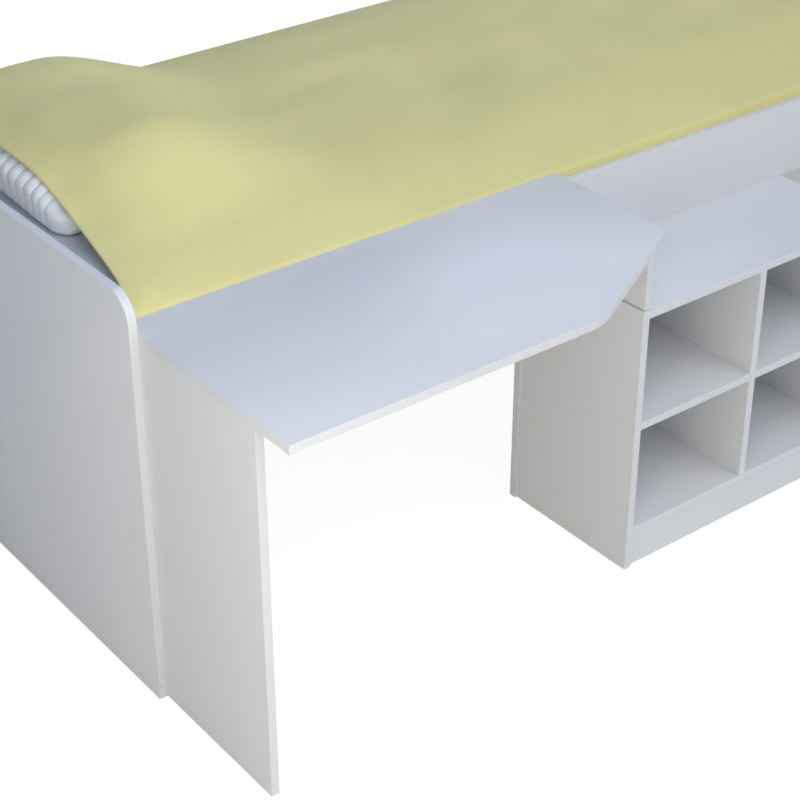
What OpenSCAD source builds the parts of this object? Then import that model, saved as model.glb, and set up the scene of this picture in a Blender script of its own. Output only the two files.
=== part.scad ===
// Cabin bed with a fixed desk and an open bookcase, flat-pack board construction.
// Millimetres. +X runs along the bed from the head to the foot, +Y from the desk's
// front edge to the rear rail, +Z up. The origin is on the floor, at the middle of
// the bed's length and of its whole depth, desk included.

/* [Mattress space] */
// Length of the mattress
mattress_l = 2000; // [1900:10:2100]
// Width of the mattress
mattress_w = 900; // [860:10:1000]
// Height of the mattress
mattress_h = 140; // [110:5:170]
// Clearance between each end of the mattress and the end panel
end_gap = 2; // [1:1:8]
// Clearance between each side of the mattress and the rail
side_gap = 5; // [4:1:10]

/* [Boards] */
// Thickness of every board
board_t = 16; // [15:1:19]
// Height of the two long rails
rail_h = 154; // [142:2:180]

/* [End panels] */
// Height of the end panels' upper edge above the floor
end_h = 800; // [780:5:860]
// How far the end panels stand out in front of the front rail
end_overhang = 26; // [10:2:60]
// Radius of the end panels' two upper corners
end_corner_r = 50; // [20:5:80]

/* [Desk] */
// Height of the desk's working surface above the floor
desk_h = 736; // [720:2:760]
// Length of the desk top
desk_l = 912; // [880:4:960]
// Depth from the desk's front edge to the face of the front rail
desk_d = 436; // [420:4:480]
// Gap between the desk and the head end panel
desk_end_gap = 0; // [0:1:8]
// Distance from the desk's left edge to where the slope would meet the front edge
desk_front_l = 610; // [560:5:640]
// Angle of the sloping edge at the desk's right
desk_slope = 28.5; // [24:0.5:30]
// Radius where the front edge turns into the slope
desk_bend_r = 130; // [60:10:160]
// Radius where the slope turns into the right edge
desk_corner_r = 70; // [40:5:90]
// How far the leg panel stands behind the desk's front edge
leg_setback = 88; // [60:4:120]

/* [Bookcase] */
// Distance from the desk's front edge to the bookcase's front
case_front = 185; // [177:4:197]
// How far the bookcase's side stands out past the desk's riser
case_step = 5; // [2:1:10]
// Width of one compartment
cell_w = 289; // [250:3:319]
// Depth of the bookcase's boards
case_d = 316; // [304:4:340]
// Height of the plinth
plinth_h = 79; // [64:5:99]
// How far the plinth stands behind the bookcase's front
plinth_setback = 6; // [2:1:20]
// Gap between the bookcase and the desk's riser above it
riser_clear = 2; // [1.5:0.5:6]
// How far the rear panel stands out past each side
rear_lip = 5; // [1:1:10]
// How far the desk's riser stands behind the bookcase's front
riser_setback = 4; // [2:1:12]

/* [Slatted base] */
// Number of slats
slat_count = 14; // [11:1:16]
// Width of a slat
slat_w = 68; // [50:2:80]
// Thickness of a slat
slat_t = 14; // [12:1:18]
// Height of the ledges' underside above the rails' lower edge
ledge_lift = 4; // [2:1:8]
// Width of the ledges that carry the slats
ledge_w = 25; // [20:1:35]
// Height of the ledges that carry the slats
ledge_h = 26; // [20:1:32]
// Width of the two webbing straps over the slats
strap_w = 30; // [20:2:50]
// Thickness of the webbing straps
strap_t = 1; // [0.8:0.1:2]

/* [Fittings] */
// Diameter of a cam lock
cam_d = 15; // [14:0.5:16]
// Depth of a cam lock
cam_depth = 12.5; // [12:0.5:13]
// Distance from a board's edge to the middle of a cam lock
cam_inset = 34; // [30:1:36]
// Diameter of a cam bolt
bolt_d = 6; // [5:0.5:6.5]
// How deep a cam bolt or a dowel goes into the face of a board
face_bore = 12; // [10:0.5:12.5]
// Diameter of a wooden dowel
dowel_d = 8; // [6:0.5:8]
// Length of a wooden dowel
dowel_l = 30; // [26:1:36]
// Diameter of the shank of a panel screw
screw_d = 5; // [4:0.5:6]
// Length of a panel screw
screw_l = 50; // [40:5:60]
// Diameter of a wood screw
wood_screw_d = 4; // [3:0.5:4.5]
// Diameter of a floor glide
glide_d = 14; // [12:0.5:15]
// Height of a floor glide
glide_h = 2; // [1.5:0.5:4]
// Thickness of a cover cap
cap_t = 0.8; // [0.6:0.1:1.5]
// Diameter of a buffer disc on top of the bookcase
buffer_d = 8; // [6:0.5:9]

/* [Bedding] */
// Radius of the mattress's upper and lower edges
mattress_edge_r = 16; // [14:1:24]
// Radius of the mattress's upright corners
mattress_corner_r = 40; // [30:5:80]
// Height of the mattress's crown
mattress_crown = 3; // [1:1:6]
// Thickness of the duvet
duvet_t = 22; // [18:1:30]
// Distance from the head end panel to the duvet's hem
duvet_start = 58; // [50:2:80]
// How far the duvet's sides hang below the rails' top edge
duvet_tuck = 12; // [6:2:30]
// Radius where the duvet turns down over the side of the mattress
duvet_roll_r = 34; // [30:1:40]
// Height that the duvet puffs up along its middle
duvet_puff = 18; // [4:2:30]
// Height of the soft folds in the duvet
duvet_wave = 4; // [0:1:5]
// Length of the pillow across the bed
pillow_l = 560; // [480:10:600]
// Width of the pillow along the bed
pillow_w = 340; // [300:10:400]
// Height of the pillow
pillow_h = 88; // [70:2:110]
// Distance from the head end panel to the pillow
pillow_start = 48; // [30:2:56]
// Distance from the front rail to the pillow's near end
pillow_side = 280; // [200:2:290]
// Number of sewn channels round the pillow
pillow_channels = 15; // [10:1:17]
// Depth of the seams between the channels
pillow_seam = 5; // [2:0.5:6]

/* [Hidden] */
$fn = 48;
SLAT_NODES = [for (i = [1 : slat_count]) str("slat_", i < 10 ? "0" : "", i)];

WHITE = [0.93, 0.94, 0.96];
TIMBER = [0.87, 0.75, 0.55];
STEEL = [0.72, 0.73, 0.75];
PLASTIC = [0.96, 0.96, 0.95];
WEBBING = [0.90, 0.88, 0.82];
MATTRESS_GREY = [0.47, 0.49, 0.53];
PILLOW_WHITE = [0.80, 0.81, 0.84];
DUVET_GREEN = [0.80, 0.80, 0.59];

// Main planes of the frame
inner_l = mattress_l + 2 * end_gap;
inner_w = mattress_w + 2 * side_gap;
overall_l = inner_l + 2 * board_t;
overall_d = desk_d + inner_w + 2 * board_t;
x_head = -overall_l / 2;
x_head_in = x_head + board_t;
x_foot_in = x_head_in + inner_l;
y_front = -overall_d / 2;
y_rail = y_front + desk_d;
y_rail_in = y_rail + board_t;
y_rear_in = y_rail_in + inner_w;
y_end = y_rail - end_overhang;
y_rear = overall_d / 2;
z_rail_top = desk_h - board_t;
z_rail = z_rail_top - rail_h;

// Desk
desk_x = x_head_in + desk_end_gap;
desk_full_d = desk_d + board_t;
leg_y = y_front + leg_setback;
leg_face = desk_x + board_t;
riser_x = desk_x + desk_l - board_t;
riser_y = y_front + case_front + riser_setback;
riser_face = riser_x + board_t;
riser_z = z_rail + riser_clear;

// Bookcase
case_x = riser_x - case_step;
case_y = y_front + case_front;
case_w = 2 * cell_w + 3 * board_t;
case_top = z_rail;
case_rear = case_y + case_d;
case_in_left = case_x + board_t;
divider_x = case_in_left + cell_w;
case_in_right = divider_x + board_t + cell_w;
cell_z = plinth_h + board_t;
cell_h = (case_top - 2 * board_t - cell_z) / 2;
shelf_z = cell_z + cell_h;

// Slatted base
slat_end_gap = 2;
ledge_end_gap = 10;
strap_inset = 150;
z_ledge = z_rail + ledge_lift;
z_slat = z_ledge + ledge_h;
z_strap = z_slat + slat_t;
slat_pitch = (inner_l - slat_w - 2 * ledge_end_gap) / (slat_count - 1);

// Fittings
bolt_play = 1;
cam_slot = [9, 2.2, 3];
cam_core = 1;
dowel_play = 1;
cap_lip = 1.5;
screw_head = [9, 3];
wood_head = [7, 2.5];
ledge_screw_l = ledge_w + 9;
ledge_screws_each = 6;
ledge_screw_end = 130;
slat_screw_l = slat_t + 20;
nail_d = 2.5;
nail_l = 12;
glide_end = 45;
leg_joint_drop = 14;
board_mid = board_t / 2;
rail_joint_inset = 35;
upright_cam_front = 50;
upright_cam_rear = 90;
case_joint_inset = 45;
shelf_dowel_inset = 50;
shelf_dowel_stagger = 40;
plinth_dowel_foot = 20;
plinth_dowel_head = 18;
panel_screw_inset = 60;
dowel_shares = [0.15, 0.5, 0.85];
disc_edge_gap = 1;
disc_shares = [0.33, 0.87];

// Bedding
soft_gap = 0.3;
pillow_far_gap = 88;
z_mattress = z_strap + strap_t + soft_gap;
z_mattress_top = z_mattress + mattress_h;
pillow_x = x_head_in + pillow_start;
pillow_y = y_rail_in + pillow_side;
pillow_len = min(pillow_l, inner_w - pillow_side - pillow_far_gap);

// ------------------------------------------------------------ small helpers

// A board given by its low corner and its size
module board(at, size) { translate(at) cube(size); }

// A round bar from a point along a direction that lies on one axis
module bar(at, along, l, d) {
    turn = along.x != 0 ? [0, 90 * along.x, 0]
        : along.y != 0 ? [-90 * along.y, 0, 0]
        : [along.z > 0 ? 0 : 180, 0, 0];
    translate(at) rotate(turn) cylinder(d = d, h = l);
}

function smooth(a, b, t) =
    let (s = min(max((t - a) / (b - a), 0), 1)) s * s * (3 - 2 * s);

function arc(centre, r, from, to, steps) =
    [for (i = [0 : steps]) let (a = from + (to - from) * i / steps)
        centre + r * [cos(a), sin(a)]];

// ------------------------------------------------------ cam joints' places
// Each is [cam's middle on the board's face, the face's outward normal, the bolt's
// direction]. The bolt runs from the cam out of the board's edge into the next board.

low_joint = z_ledge + rail_joint_inset;
high_joint = z_rail_top - rail_joint_inset;

rail_cams = [
    for (rear = [0, 1], foot = [0, 1], z = [low_joint, high_joint])
        [[foot ? x_foot_in - cam_inset : x_head_in + cam_inset,
          rear ? y_rear_in : y_rail_in, z],
         [0, rear ? -1 : 1, 0], [foot ? 1 : -1, 0, 0]]];

// Cams in a desk upright, which hold it to the desk top and to the rail
function upright_cams(face, front) = concat(
    [for (y = [front + upright_cam_front, y_rail - upright_cam_rear])
        [[face, y, z_rail_top - cam_inset], [1, 0, 0], [0, 0, 1]]],
    [for (z = [low_joint, high_joint])
        [[face, y_rail - cam_inset, z - leg_joint_drop], [1, 0, 0], [0, 1, 0]]]);
leg_cams = upright_cams(leg_face, leg_y);
riser_cams = upright_cams(riser_face, riser_y);

case_cam_rows = [case_y + case_joint_inset, case_rear - case_joint_inset];
case_top_cams = [
    for (right = [0, 1], y = case_cam_rows)
        [[right ? case_in_right : case_in_left, y, case_top - board_t - cam_inset],
         [right ? -1 : 1, 0, 0], [0, 0, 1]]];
case_bottom_cams = [
    for (right = [0, 1], y = case_cam_rows)
        [[right ? case_in_right - cam_inset : case_in_left + cam_inset, y, plinth_h],
         [0, 0, -1], [right ? 1 : -1, 0, 0]]];

capped_cams = concat(leg_cams, riser_cams, case_top_cams);
all_cams = concat(rail_cams, capped_cams, case_bottom_cams);

// ----------------------------------------------------------- dowels' places
// Each is [point where two boards meet, direction into the board's edge]

rail_dowels = [
    for (y = [y_rail, y_rear_in], foot = [0, 1])
        [[foot ? x_foot_in : x_head_in, y + board_mid, z_rail + rail_h / 2],
         [foot ? -1 : 1, 0, 0]]];
// An upright's dowel into the desk top stands midway between its two cams there
function upright_dowel_y(front) =
    (front + upright_cam_front + y_rail - upright_cam_rear) / 2;
leg_dowels = [
    [[desk_x + board_mid, upright_dowel_y(leg_y), z_rail_top], [0, 0, -1]],
    [[desk_x + board_mid, y_rail, z_rail + rail_h / 2 - leg_joint_drop], [0, -1, 0]]];
riser_dowels = [
    [[riser_x + board_mid, upright_dowel_y(riser_y), z_rail_top], [0, 0, -1]],
    [[riser_x + board_mid, y_rail, z_rail + rail_h / 2 - leg_joint_drop], [0, -1, 0]]];
desk_rail_dowels = [
    for (share = dowel_shares)
        [[desk_x + share * desk_l, y_rail + board_mid, z_rail_top], [0, 0, -1]]];

case_side_dowels = [
    for (x = [case_x, case_in_right])
        [[x + board_mid, case_y + case_d / 2, case_top - board_t], [0, 0, -1]]];
divider_top_dowels = [
    for (share = dowel_shares)
        [[divider_x + board_mid, case_y + share * case_d, case_top - board_t],
         [0, 0, -1]]];
divider_foot_dowels = [
    for (share = dowel_shares)
        [[divider_x + board_mid, case_y + share * case_d, cell_z], [0, 0, 1]]];
bottom_dowels = [
    for (right = [0, 1])
        [[right ? case_in_right : case_in_left, case_y + case_d / 2,
          plinth_h + board_mid], [right ? -1 : 1, 0, 0]]];
plinth_dowels = [
    for (right = [0, 1], z = [glide_h + plinth_dowel_foot, plinth_h - plinth_dowel_head])
        [[right ? case_in_right : case_in_left,
          case_y + plinth_setback + board_mid, z], [right ? -1 : 1, 0, 0]]];

// The shelves' dowels at the divider lie on other rows, so the bores don't meet
shelf_z_mid = shelf_z + board_mid;
function shelf_rows(inset) = [case_y + inset, case_rear - inset];
left_shelf_dowels = [
    for (y = shelf_rows(shelf_dowel_inset))
        each [[[case_in_left, y, shelf_z_mid], [1, 0, 0]],
              [[divider_x, y, shelf_z_mid], [-1, 0, 0]]]];
right_shelf_dowels = [
    for (y = shelf_rows(shelf_dowel_inset + shelf_dowel_stagger))
        each [[[divider_x + board_t, y, shelf_z_mid], [1, 0, 0]],
              [[case_in_right, y, shelf_z_mid], [-1, 0, 0]]]];

all_dowels = concat(
    rail_dowels, leg_dowels, riser_dowels, desk_rail_dowels, case_side_dowels,
    divider_top_dowels, divider_foot_dowels, bottom_dowels, plinth_dowels,
    left_shelf_dowels, right_shelf_dowels);

// ------------------------------------------------- screws', discs' and feet's places

// Panel screws through the bookcase's rear panel into an upright
function rear_screws(x) = [
    for (z = [plinth_h + panel_screw_inset, shelf_z - panel_screw_inset,
              case_top - panel_screw_inset])
        [[x + board_mid, case_rear + board_t, z], [0, -1, 0]]];
all_rear_screws = concat(
    rear_screws(case_x), rear_screws(divider_x), rear_screws(case_in_right));

// Wood screws through a ledge into its rail
ledge_screw_pitch =
    (inner_l - 2 * ledge_screw_end - slat_w) / (ledge_screws_each - 1);
function ledge_screws_at(rear) = [
    for (i = [0 : ledge_screws_each - 1])
        [[x_head_in + ledge_screw_end + slat_w / 2 + i * ledge_screw_pitch,
          rear ? y_rear_in - ledge_w : y_rail_in + ledge_w, z_ledge + ledge_h / 2],
         [0, rear ? 1 : -1, 0]]];

// Wood screws that hold the first and the last slat to a ledge
function slat_x(i) = x_head_in + ledge_end_gap + (i - 1) * slat_pitch;
slat_screw_ends = [1, slat_count];
function slat_screws_at(i) = [
    for (y = [y_rail_in + ledge_w / 2, y_rear_in - ledge_w / 2])
        [[slat_x(i) + slat_w / 2, y, z_strap], [0, 0, -1]]];
function slat_screws_in(rear) = [
    for (i = slat_screw_ends) slat_screws_at(i)[rear]];

// Discs between the bookcase's top and the riser over it, set back out of sight
disc_back = board_t - buffer_d / 2 - disc_edge_gap;
discs = [for (share = disc_shares)
    [riser_x + disc_back, riser_y + share * (y_rail - riser_y)]];

// Glides under each board that stands on the floor
function glides_along_y(x, from, to) = [
    for (y = [from + glide_end, to - glide_end]) [x + board_mid, y]];
end_left_glides = glides_along_y(x_head, y_end, y_rear);
end_right_glides = glides_along_y(x_foot_in, y_end, y_rear);
leg_glides = glides_along_y(desk_x, leg_y, y_rail);
case_left_glides = glides_along_y(case_x, case_y, case_rear);
case_right_glides = glides_along_y(case_in_right, case_y, case_rear);
rear_panel_glides = [
    for (x = [case_x + glide_end, case_x + case_w - glide_end])
        [x, case_rear + board_mid]];
all_glides = concat(
    end_left_glides, end_right_glides, leg_glides, case_left_glides,
    case_right_glides, rear_panel_glides);

// ------------------------------------------------------------ bores in boards

// A cam's pocket and its bolt's bore: free in the first board, tight in the second
module cam_bores(cams) {
    for (c = cams) {
        middle = c[0] - board_mid * c[1];
        bar(c[0], -c[1], cam_depth, cam_d);
        bar(middle, c[2], cam_inset, bolt_d + bolt_play);
        bar(middle + cam_inset * c[2], c[2], face_bore, bolt_d);
    }
}

module dowel_bores(dowels) {
    for (d = dowels)
        bar(d[0] - face_bore * d[1], d[1], dowel_l + 2 * dowel_play, dowel_d);
}

module screw_bores(screws, l, d, head) {
    for (s = screws) {
        bar(s[0], s[1], l, d);
        bar(s[0], s[1], head[1], head[0]);
    }
}

module rear_screw_bores(screws) { screw_bores(screws, screw_l, screw_d, screw_head); }

module nail_bores(glides) {
    for (g = glides) translate([g.x, g.y, glide_h]) cylinder(d = nail_d, h = nail_l);
}

// -------------------------------------------------------------- the end panels

module end_panel(x) {
    depth = y_rear - y_end;
    translate([x, y_end, 0]) rotate([90, 0, 90]) linear_extrude(board_t) {
        translate([0, glide_h]) square([depth, end_h - end_corner_r - glide_h]);
        translate([end_corner_r, glide_h])
            square([depth - 2 * end_corner_r, end_h - glide_h]);
        for (y = [end_corner_r, depth - end_corner_r])
            translate([y, end_h - end_corner_r]) circle(end_corner_r, $fn = 96);
    }
}

module left_end_panel() {
    color(WHITE) difference() {
        end_panel(x_head);
        cam_bores(rail_cams);
        dowel_bores(rail_dowels);
        nail_bores(end_left_glides);
    }
}

module right_end_panel() {
    color(WHITE) difference() {
        end_panel(x_foot_in);
        cam_bores(rail_cams);
        dowel_bores(rail_dowels);
        nail_bores(end_right_glides);
    }
}

// -------------------------------------------------------- rails and slatted base

module front_rail() {
    color(WHITE) difference() {
        board([x_head_in, y_rail, z_rail], [inner_l, board_t, rail_h]);
        cam_bores(concat(rail_cams, leg_cams, riser_cams));
        dowel_bores(concat(rail_dowels, desk_rail_dowels, leg_dowels, riser_dowels));
        ledge_screw_bores(0);
    }
}

module rear_rail() {
    color(WHITE) difference() {
        board([x_head_in, y_rear_in, z_rail], [inner_l, board_t, rail_h]);
        cam_bores(rail_cams);
        dowel_bores(rail_dowels);
        ledge_screw_bores(1);
    }
}

module ledge_screw_bores(rear) {
    screw_bores(ledge_screws_at(rear), ledge_screw_l, wood_screw_d, wood_head);
}

module slat_screw_bores(screws) {
    screw_bores(screws, slat_screw_l, wood_screw_d, wood_head);
}

module slat_ledge(rear) {
    y = rear ? y_rear_in - ledge_w : y_rail_in;
    difference() {
        board([x_head_in + ledge_end_gap, y, z_ledge],
              [inner_l - 2 * ledge_end_gap, ledge_w, ledge_h]);
        ledge_screw_bores(rear);
        slat_screw_bores(slat_screws_in(rear));
    }
}

module front_slat_ledge() { color(TIMBER) slat_ledge(0); }
module rear_slat_ledge() { color(TIMBER) slat_ledge(1); }

module slat(i) {
    color(TIMBER) difference() {
        board([slat_x(i), y_rail_in + slat_end_gap, z_slat],
              [slat_w, inner_w - 2 * slat_end_gap, slat_t]);
        if (i == 1 || i == slat_count) slat_screw_bores(slat_screws_at(i));
    }
}

module slat_straps() {
    color(WEBBING)
        for (y = [y_rail_in + strap_inset, y_rear_in - strap_inset - strap_w])
            board([slat_x(1), y, z_strap],
                  [slat_x(slat_count) + slat_w - slat_x(1), strap_w, strap_t]);
}

// ------------------------------------------------------------------- the desk

// Outline seen from above: straight front, a bend into the slope, a rounded corner
function desk_outline() =
    let (
        corner_y = (desk_l - desk_front_l) * tan(desk_slope),
        bend_x = desk_front_l - desk_bend_r * tan(desk_slope / 2),
        turn_y = corner_y + desk_corner_r * tan((90 - desk_slope) / 2))
    concat(
        [[0, desk_full_d], [0, 0]],
        arc([bend_x, desk_bend_r], desk_bend_r, -90, desk_slope - 90, 12),
        arc([desk_l - desk_corner_r, turn_y], desk_corner_r, desk_slope - 90, 0, 20),
        [[desk_l, desk_full_d]]);

module desk_top() {
    color(WHITE) difference() {
        translate([desk_x, y_front, z_rail_top])
            linear_extrude(board_t) polygon(desk_outline());
        cam_bores(concat(leg_cams, riser_cams));
        dowel_bores(concat(leg_dowels, riser_dowels, desk_rail_dowels));
    }
}

module desk_leg_panel() {
    color(WHITE) difference() {
        board([desk_x, leg_y, glide_h],
              [board_t, y_rail - leg_y, z_rail_top - glide_h]);
        cam_bores(leg_cams);
        dowel_bores(leg_dowels);
        nail_bores(leg_glides);
    }
}

module desk_riser() {
    color(WHITE) difference() {
        board([riser_x, riser_y, riser_z],
              [board_t, y_rail - riser_y, z_rail_top - riser_z]);
        cam_bores(riser_cams);
        dowel_bores(riser_dowels);
    }
}

// --------------------------------------------------------------- the bookcase

module bookcase_side(x) {
    board([x, case_y, glide_h], [board_t, case_d, case_top - board_t - glide_h]);
}

module bookcase_left_side() {
    color(WHITE) difference() {
        bookcase_side(case_x);
        cam_bores(concat(case_top_cams, case_bottom_cams));
        dowel_bores(concat(case_side_dowels, bottom_dowels, plinth_dowels,
                           left_shelf_dowels));
        rear_screw_bores(rear_screws(case_x));
        nail_bores(case_left_glides);
    }
}

module bookcase_right_side() {
    color(WHITE) difference() {
        bookcase_side(case_in_right);
        cam_bores(concat(case_top_cams, case_bottom_cams));
        dowel_bores(concat(case_side_dowels, bottom_dowels, plinth_dowels,
                           right_shelf_dowels));
        rear_screw_bores(rear_screws(case_in_right));
        nail_bores(case_right_glides);
    }
}

module bookcase_divider() {
    color(WHITE) difference() {
        board([divider_x, case_y, cell_z],
              [board_t, case_d, case_top - board_t - cell_z]);
        dowel_bores(concat(divider_top_dowels, divider_foot_dowels,
                           left_shelf_dowels, right_shelf_dowels));
        rear_screw_bores(rear_screws(divider_x));
    }
}

module bookcase_top() {
    color(WHITE) difference() {
        board([case_x, case_y, case_top - board_t], [case_w, case_d, board_t]);
        cam_bores(case_top_cams);
        dowel_bores(concat(case_side_dowels, divider_top_dowels));
    }
}

module bookcase_bottom() {
    color(WHITE) difference() {
        board([case_in_left, case_y, plinth_h],
              [case_in_right - case_in_left, case_d, board_t]);
        cam_bores(case_bottom_cams);
        dowel_bores(concat(bottom_dowels, divider_foot_dowels));
    }
}

module bookcase_plinth() {
    color(WHITE) difference() {
        board([case_in_left, case_y + plinth_setback, glide_h],
              [case_in_right - case_in_left, board_t, plinth_h - glide_h]);
        dowel_bores(plinth_dowels);
    }
}

module bookcase_left_shelf() {
    color(WHITE) difference() {
        board([case_in_left, case_y, shelf_z], [cell_w, case_d, board_t]);
        dowel_bores(left_shelf_dowels);
    }
}

module bookcase_right_shelf() {
    color(WHITE) difference() {
        board([divider_x + board_t, case_y, shelf_z], [cell_w, case_d, board_t]);
        dowel_bores(right_shelf_dowels);
    }
}

module bookcase_rear_panel() {
    color(WHITE) difference() {
        board([case_x - rear_lip, case_rear, glide_h],
              [case_w + 2 * rear_lip, board_t, case_top - glide_h]);
        rear_screw_bores(all_rear_screws);
        nail_bores(rear_panel_glides);
    }
}

// --------------------------------------------------------------- the fittings

// A round housing with a driver slot, and a bore from its middle for the bolt
module cam_lock(c) {
    across = c[1].z != 0 ? [1, 1, 0] : [1 - abs(c[1].x), 1 - abs(c[1].y), 1];
    along = [for (k = [0 : 2]) abs(c[2][k])];
    size = [for (k = [0 : 2])
        along[k] == 1 ? cam_slot[0] : across[k] == 1 ? cam_slot[1] : 2 * cam_slot[2]];
    difference() {
        bar(c[0], -c[1], cam_depth, cam_d);
        bar(c[0] - board_mid * c[1] - cam_core * c[2], c[2], cam_d, bolt_d + bolt_play);
        translate(c[0] - size / 2) cube(size);
    }
}

module cam_locks() { color(STEEL) for (c = all_cams) cam_lock(c); }

module cam_bolts() {
    color(STEEL) for (c = all_cams)
        bar(c[0] - board_mid * c[1], c[2], cam_inset + face_bore, bolt_d);
}

module cover_caps() {
    color(PLASTIC) for (c = capped_cams)
        bar(c[0], c[1], cap_t, cam_d + 2 * cap_lip);
}

module wooden_dowels() {
    color(TIMBER) for (d = all_dowels)
        bar(d[0] - (face_bore - dowel_play) * d[1], d[1], dowel_l, dowel_d);
}

module screws(places, l, d, head) {
    for (s = places) {
        bar(s[0], s[1], l, d);
        bar(s[0], s[1], head[1], head[0]);
    }
}

module panel_screws() { color(STEEL) screws(all_rear_screws, screw_l, screw_d, screw_head); }

module ledge_screws() {
    color(STEEL) for (rear = [0, 1])
        screws(ledge_screws_at(rear), ledge_screw_l, wood_screw_d, wood_head);
}

module slat_screws() {
    color(STEEL) for (i = slat_screw_ends)
        screws(slat_screws_at(i), slat_screw_l, wood_screw_d, wood_head);
}

module buffer_discs() {
    color(PLASTIC) for (p = discs)
        translate([p.x, p.y, case_top]) cylinder(d = buffer_d, h = riser_clear);
}

module floor_glides() {
    color(PLASTIC) for (g = all_glides) translate([g.x, g.y, 0]) {
        cylinder(d = glide_d, h = glide_h);
        cylinder(d = nail_d, h = glide_h + nail_l);
    }
}

// --------------------------------------------------------------- soft pieces

// A closed skin over rings of points, with a fan of triangles at each end
module loft(rings) {
    n = len(rings[0]);
    last = len(rings) - 1;
    points = concat([for (r = rings) each r],
                    [ring_middle(rings[0]), ring_middle(rings[last])]);
    first_tip = n * len(rings);
    sides = [for (i = [0 : last - 1], j = [0 : n - 1])
        let (a = i * n + j, b = i * n + (j + 1) % n)
            each [[a, b + n, b], [a, a + n, b + n]]];
    ends = [for (j = [0 : n - 1]) let (k = (j + 1) % n)
        each [[first_tip, j, k], [first_tip + 1, last * n + k, last * n + j]]];
    polyhedron(points, concat(sides, ends));
}

function ring_middle(r) = r * 0 == 0 ? r : [for (k = [0 : 2]) sum_of(r, k) / len(r)];
function sum_of(r, k, i = 0) = i == len(r) ? 0 : r[i][k] + sum_of(r, k, i + 1);

// A level ring round the mattress, inset from its sides
function mattress_ring(inset, z) =
    let (
        r = max(mattress_corner_r - inset, 4),
        half = [mattress_l / 2 - inset, mattress_w / 2 - inset],
        middle = [(x_head_in + x_foot_in) / 2, (y_rail_in + y_rear_in) / 2])
    [for (corner = [0 : 3]) each
        let (sx = corner == 0 || corner == 3 ? 1 : -1, sy = corner < 2 ? 1 : -1)
            [for (p = arc(middle + [sx * (half.x - r), sy * (half.y - r)], r,
                          90 * corner, 90 * corner + 90, 5)) [p.x, p.y, z]]];

module mattress() {
    draw_in = 1.5;
    crown_w = 130;
    bends = [0, 25, 50, 70, 90];
    top = z_mattress_top;
    edge = mattress_edge_r;
    body = [
        for (a = bends)
            mattress_ring(edge * (1 - sin(a)), z_mattress + edge * (1 - cos(a))),
        mattress_ring(draw_in, z_mattress + mattress_h / 2),
        for (a = bends)
            mattress_ring(edge * (1 - cos(a)), top - mattress_crown - edge * (1 - sin(a)))];
    crown = [
        for (s = [0.3, 0.6, 1])
            mattress_ring(edge + crown_w * s, top - mattress_crown * (1 - smooth(0, 1, s)))];
    color(MATTRESS_GREY) loft(concat(body, crown));
}

// The pillow: flat underneath, round over the top, pinched in at each sewn seam
pillow_power = 2.7;
pillow_cap = 60;
pillow_draw = 0.28;
pillow_under = 0.44;
pillow_fan = 14;
pillow_steps = 4;

// How full the pillow is at a distance from its near end, from 0 to 1
function pillow_fullness(y) =
    let (d = min(y, pillow_len - y) / pillow_cap)
        d >= 1 ? 1 : pow(1 - pow(1 - d, 2), 0.5);

function pillow_ring(y, pinch) =
    let (
        full = pillow_fullness(y),
        half_w = pillow_w / 2 * (1 - pillow_draw * (1 - full)) - pinch,
        h = pillow_h * full - pinch,
        under = h * pillow_under)
    [for (i = [0 : pillow_fan - 1])
        let (
            a = 360 * i / pillow_fan,
            c = sign(cos(a)) * pow(abs(cos(a)), 2 / pillow_power),
            s = sign(sin(a)) * pow(abs(sin(a)), 2 / pillow_power))
        [pillow_x + pillow_w / 2 + half_w * c, pillow_y + y,
         z_mattress_top + soft_gap + under + (s > 0 ? (h - under) * s : under * s)]];

module pillow() {
    channel = (pillow_len - 2 * pillow_cap) / pillow_channels;
    ends = [0.02, 0.12, 0.3, 0.6];
    near = [for (e = ends) pillow_ring(pillow_cap * e, 0)];
    far = [for (e = ends) pillow_ring(pillow_len - pillow_cap * e, 0)];
    channels = [
        for (i = [0 : pillow_channels * pillow_steps])
            pillow_ring(pillow_cap + channel * i / pillow_steps,
                        pillow_seam * pow(abs(cos(180 * i / pillow_steps)), 3))];
    turned = [for (i = [len(far) - 1 : -1 : 0]) far[i]];
    color(PILLOW_WHITE) loft(concat(near, channels, turned));
}

// The duvet: a padded shell over the mattress and the pillow, tucked in at both sides
duvet_rows = 24;
duvet_ease = 1.6;
duvet_roll_steps = 4;
duvet_flat_steps = 11;
duvet_clear = 6;
duvet_hem_t = 9;
hem_corner = 34;
hem_corner_w = 130;
hem_bow = 12;
hem_share = 0.76;
hem_rise_w = 96;
lift_hold = 60;
lift_reach = 170;
lift_near_out = 140;
lift_near_in = 58;
lift_far_in = 45;
lift_far_out = 80;
lift_side_gap = 8;

// How far the pillow lifts the duvet at a point
function pillow_lift(x, y) =
    let (
        x_hem = x_head_in + duvet_start,
        x_far = pillow_x + pillow_w,
        y_far = pillow_y + pillow_len,
        y_stop = min(y_far + lift_far_out, y_rear_in - lift_side_gap),
        head = hem_share + (1 - hem_share) * smooth(x_hem, x_hem + hem_rise_w, x),
        over_x = head * (1 - smooth(x_far - lift_hold, x_far + lift_reach, x)),
        over_y = smooth(pillow_y - lift_near_out, pillow_y + lift_near_in, y)
            * (1 - smooth(y_far - lift_far_in, y_stop, y)))
    (pillow_h + duvet_clear) * over_x * over_y;

// How far the duvet puffs and folds at a point, nothing at its two sides
function duvet_rise(x, y) =
    let (across = sin(180 * (y - y_rail_in) / inner_w))
        duvet_puff * pow(across, 0.7) + duvet_wave * pow(across, 2) *
            (sin(0.42 * x + 0.16 * y) + 0.6 * sin(0.9 * y - 0.21 * x + 50));

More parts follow.
